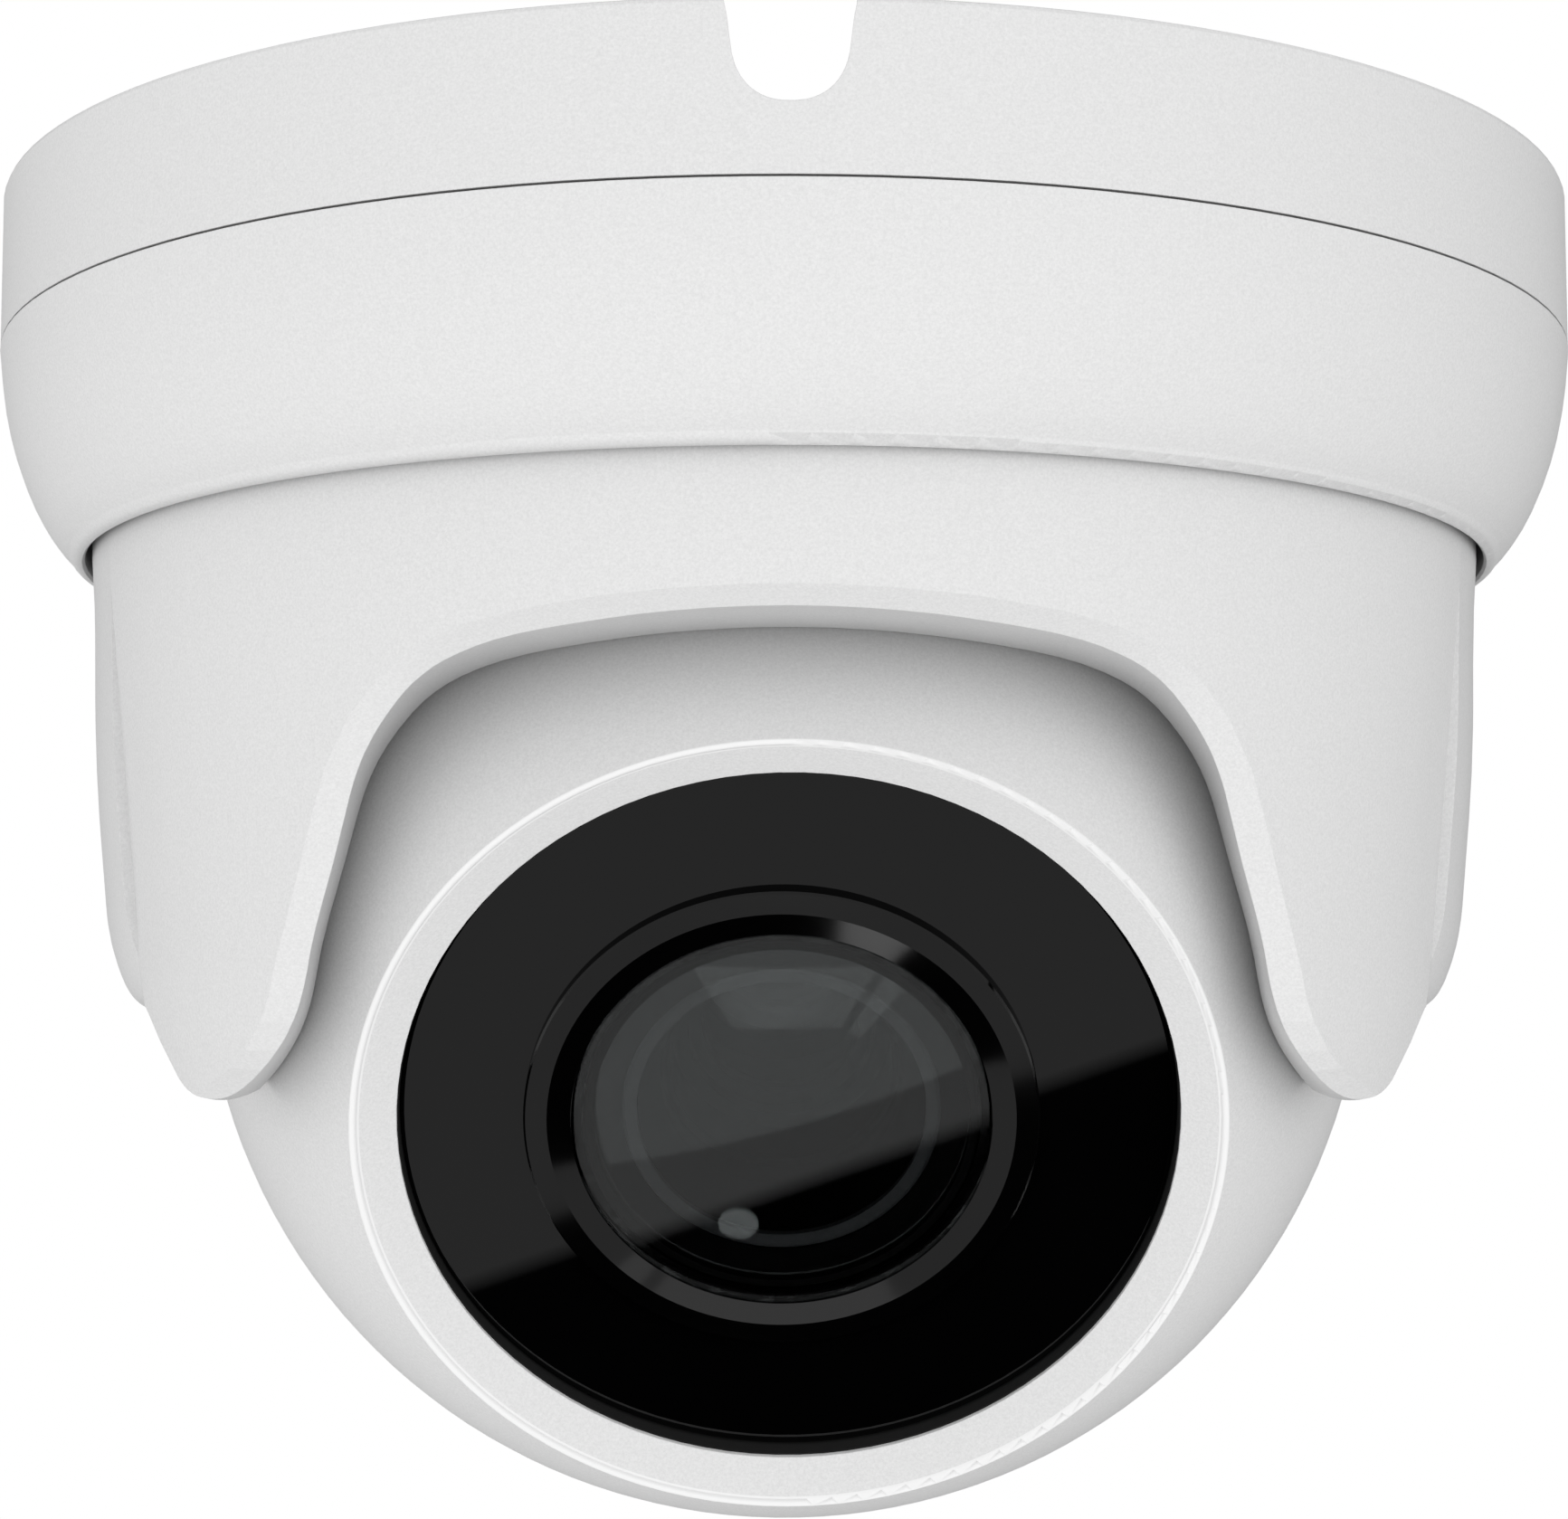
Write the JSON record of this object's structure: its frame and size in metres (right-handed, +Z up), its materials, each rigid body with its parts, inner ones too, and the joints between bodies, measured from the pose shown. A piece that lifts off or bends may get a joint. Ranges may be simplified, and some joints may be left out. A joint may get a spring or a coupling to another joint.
{
  "type": "dome camera",
  "caption": "White ceiling dome security camera with a panning arched hood, tilting ball with round black infrared window and domed varifocal lens, twist-off trim ring and cable notch.",
  "frame": {"origin": "centre of the ceiling mounting face of the base, on the pan axis", "axes": "+Z up into the ceiling along the pan axis; -Y the way the lens looks at rest; +X to the right seen from behind the lens, along the tilt axis"},
  "size_m": [0.1196, 0.1196, 0.1135],
  "materials": {
    "white_powder_coat": "satin",
    "black_window": "polished",
    "black_gloss": "gloss",
    "black_matte": "matte",
    "black_rubber": "matte",
    "clear_glass": "coated",
    "filter_glass": "coated",
    "anodised_black": "satin",
    "cast_aluminium": "satin",
    "plated_steel": "brushed",
    "circuit_green": "satin",
    "chip_black": "matte",
    "lamp_clear": "clear",
    "connector_ivory": "matte",
    "ribbon_amber": "satin",
    "acetal_grey": "satin"
  },
  "bodies": {
    "mount": {"mounting_base": "white_powder_coat", "pan_friction_ring": "black_rubber", "cable_bridge": "plated_steel", "bridge_screws": "plated_steel", "cable_grommet": "black_rubber", "pigtail_cable": "black_rubber", "network_socket": "black_matte", "power_jack": "black_matte"},
    "ring": {"trim_ring": "white_powder_coat"},
    "hood": {"hood_shell": "white_powder_coat", "tilt_friction_washers": "acetal_grey", "flex_lead": "black_rubber"},
    "yoke": {"tilt_yoke": "anodised_black", "roll_friction_ring": "black_rubber"},
    "ball": {"ball_front_shell": "white_powder_coat", "ball_rear_shell": "white_powder_coat", "ball_seal_ring": "black_rubber", "ball_screws": "plated_steel", "hub_retaining_ring": "plated_steel", "strain_relief_boot": "black_rubber", "window_gasket": "black_rubber", "front_window": "black_window", "window_retainer": "anodised_black", "retainer_screws": "plated_steel", "lens_bezel": "black_gloss", "lens_window": "clear_glass", "light_baffle": "black_rubber", "chassis_plate": "cast_aluminium", "chassis_screws": "plated_steel", "lamp_board": "circuit_green", "infrared_lamps": "lamp_clear", "lamp_board_screws": "plated_steel", "light_sensor": "clear_glass", "lens_barrel": "anodised_black", "lens_front_collar": "anodised_black", "lens_trim_ring": "cast_aluminium", "front_lens_element": "clear_glass", "lens_mount": "black_matte", "filter_motor": "chip_black", "sensor_board": "circuit_green", "image_sensor": "chip_black", "board_spacers": "plated_steel", "main_board": "circuit_green", "board_screws": "plated_steel", "board_chips": "chip_black", "heat_sink": "cast_aluminium", "board_connectors": "connector_ivory", "sensor_ribbon": "ribbon_amber", "lamp_harness": "black_rubber"},
    "zoom_collar": {"zoom_ring": "anodised_black", "zoom_lock_screw": "plated_steel"},
    "focus_collar": {"focus_ring": "anodised_black", "focus_lock_screw": "plated_steel"},
    "zoom_group": {"zoom_cell": "anodised_black", "zoom_lens_element": "clear_glass"},
    "focus_group": {"focus_cell": "anodised_black", "focus_lens_element": "clear_glass"},
    "filter": {"filter_carriage": "acetal_grey", "filter_panes": "filter_glass"}
  },
  "joints": [
    {"name": "ring_twist", "type": "hinge", "parent": "mount", "child": "ring", "pos_m": [0, 0, -0.0195], "axis": [0, 0, 1], "range_deg": [0, 20]},
    {"name": "hood_pan", "type": "hinge", "parent": "mount", "child": "hood", "pos_m": [0, 0, -0.0205], "axis": [0, 0, 1], "range_deg": [-175, 175]},
    {"name": "ball_tilt", "type": "hinge", "parent": "hood", "child": "yoke", "pos_m": [0, 0, -0.0545], "axis": [1, 0, 0], "range_deg": [-15, 59], "deforming": ["flex_lead"]},
    {"name": "ball_roll", "type": "hinge", "parent": "yoke", "child": "ball", "pos_m": [0, 0, -0.0545], "axis": [0, -0.859, -0.512], "range_deg": [-175, 175]},
    {"name": "zoom_turn", "type": "hinge", "parent": "ball", "child": "zoom_collar", "pos_m": [-0.00035, 0, -0.0545], "axis": [0, -0.859, -0.512], "range_deg": [0, 80]},
    {"name": "focus_turn", "type": "hinge", "parent": "ball", "child": "focus_collar", "pos_m": [-0.00035, 0, -0.0545], "axis": [0, -0.859, -0.512], "range_deg": [0, 110]},
    {"name": "zoom_shift", "type": "slide", "parent": "ball", "child": "zoom_group", "axis": [0, -0.859, -0.512], "range_m": [0, 0.003]},
    {"name": "focus_shift", "type": "slide", "parent": "ball", "child": "focus_group", "axis": [0, -0.859, -0.512], "range_m": [0, 0.002]},
    {"name": "filter_slide", "type": "slide", "parent": "ball", "child": "filter", "axis": [1, 0, 0], "range_m": [0, 0.007]}
  ],
  "couplings": [
    {"joint": "zoom_shift", "follows": "zoom_turn", "m_per_rad": 0.002148},
    {"joint": "focus_shift", "follows": "focus_turn", "m_per_rad": 0.001041}
  ]
}
